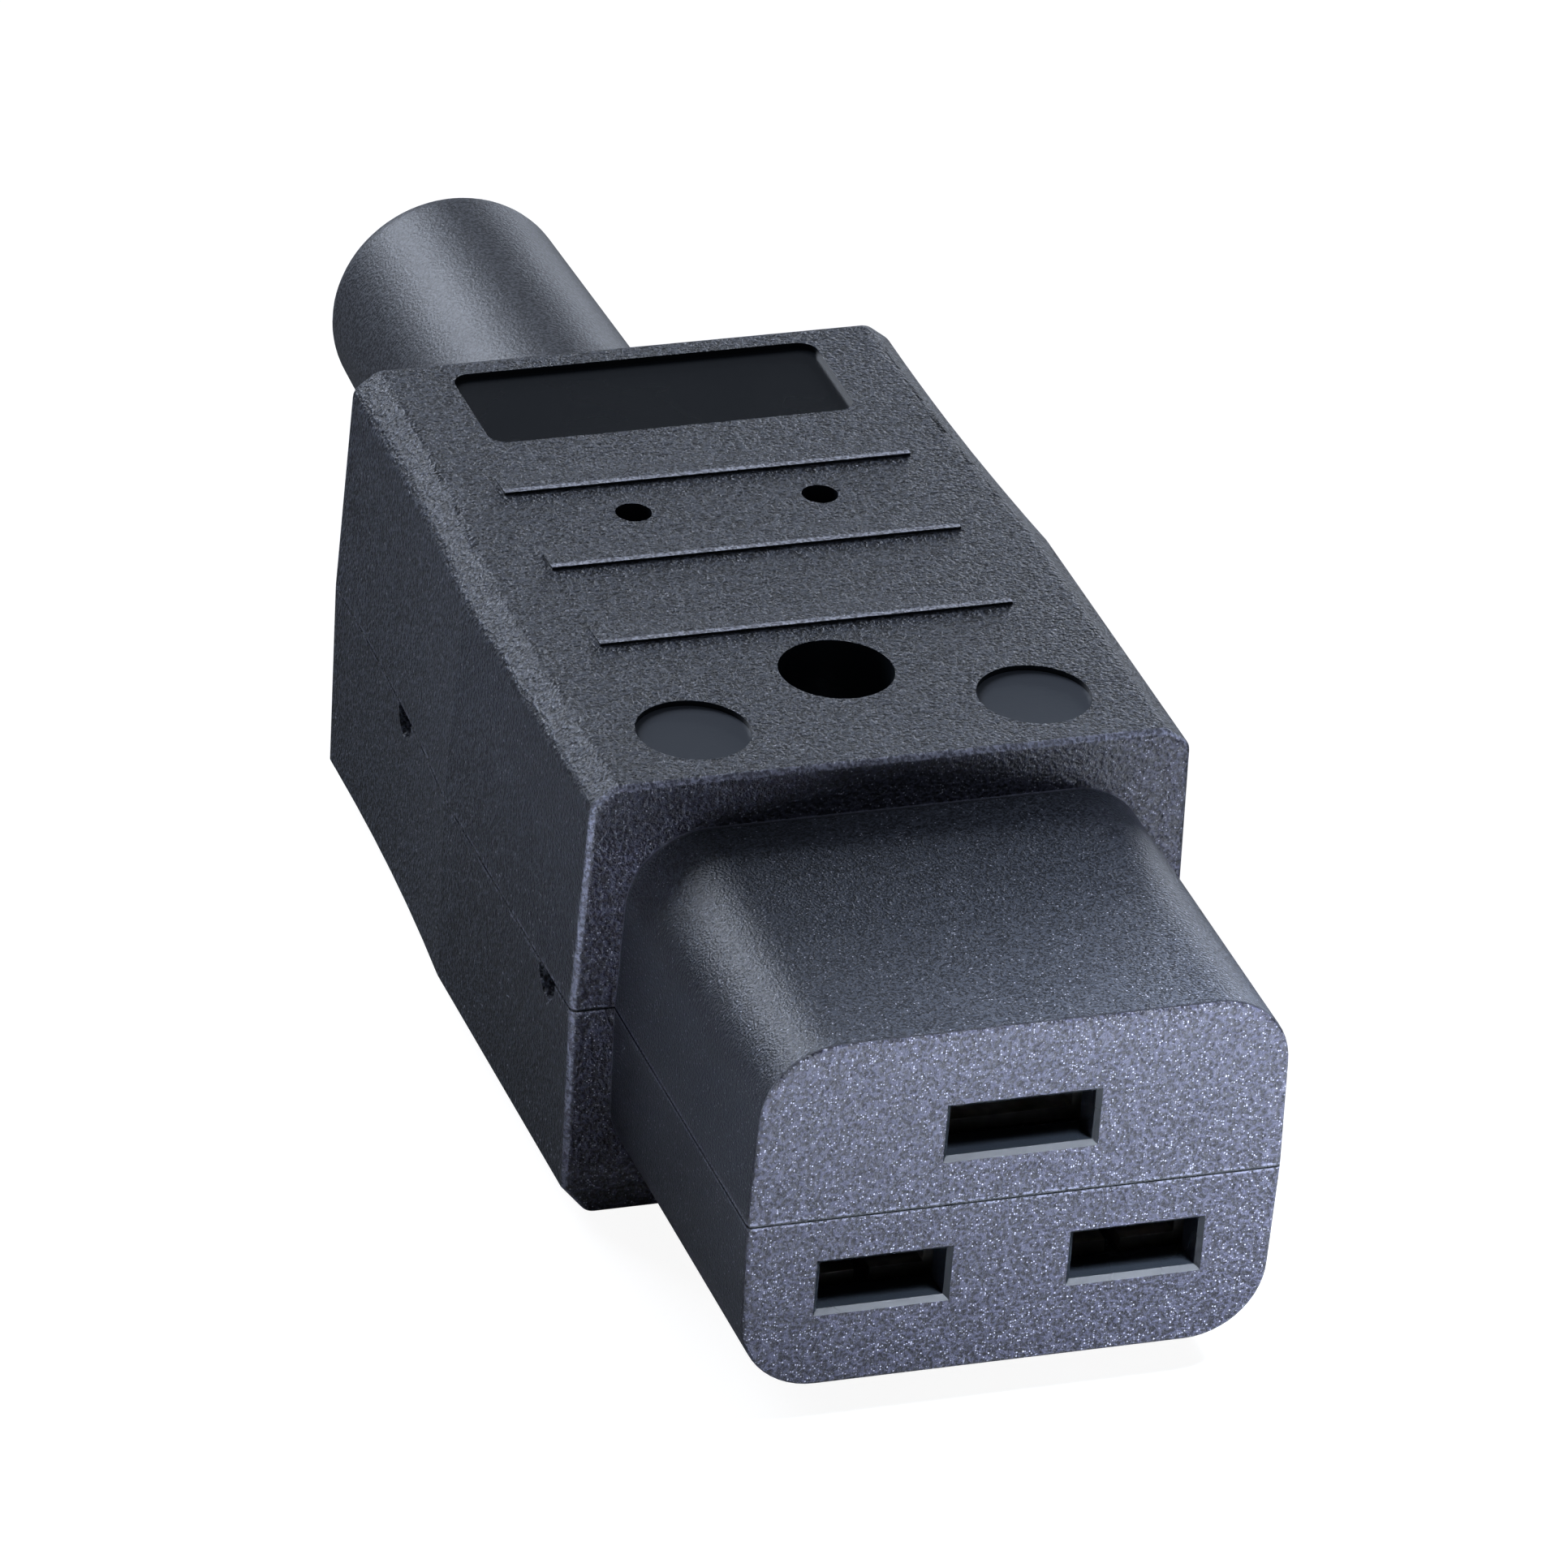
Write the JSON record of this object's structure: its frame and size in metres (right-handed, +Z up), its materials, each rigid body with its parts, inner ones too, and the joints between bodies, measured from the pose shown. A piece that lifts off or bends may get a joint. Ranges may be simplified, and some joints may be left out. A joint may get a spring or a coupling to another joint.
{
  "type": "rewireable appliance connector",
  "caption": "Rewireable black appliance connector: moulded half shells round flat-pin contacts with screw terminals, a cord clamp and a soft bend-relief sleeve.",
  "frame": {"origin": "middle of the mating face, on the plane where the two shells meet", "axes": "+Y runs back along the connector to the cord, +Z is up out of the face with the screw hole, +X is right when looking at the mating face, with the earth slot up"},
  "size_m": [0.0318, 0.0943, 0.0247],
  "materials": {
    "shell": "black moulded thermoplastic with a fine spark-eroded grain",
    "sleeve": "soft black moulded elastomer, matt",
    "clamp_plastic": "black moulded thermoplastic, smooth",
    "contact_brass": "stamped brass strip, dull nickel plating",
    "cage_brass": "cut and threaded, satin",
    "spring_steel": "stamped spring strip, satin",
    "plated_steel": "zinc plated, slotted"
  },
  "bodies": {
    "root": {"upper_shell": "shell", "lower_shell": "shell", "bend_relief_sleeve": "sleeve", "housing_screw": "plated_steel", "cord_clamp": "clamp_plastic", "cord_clamp_screw_right": "plated_steel", "cord_clamp_screw_left": "plated_steel", "line_contact": "contact_brass", "line_spring_clip": "spring_steel", "line_terminal_cage": "cage_brass", "line_terminal_screw": "plated_steel", "line_wire_guard": "spring_steel", "neutral_contact": "contact_brass", "neutral_spring_clip": "spring_steel", "neutral_terminal_cage": "cage_brass", "neutral_terminal_screw": "plated_steel", "neutral_wire_guard": "spring_steel", "earth_contact": "contact_brass", "earth_spring_clip": "spring_steel", "earth_terminal_cage": "cage_brass", "earth_terminal_screw": "plated_steel", "earth_wire_guard": "spring_steel"}
  },
  "joints": []
}
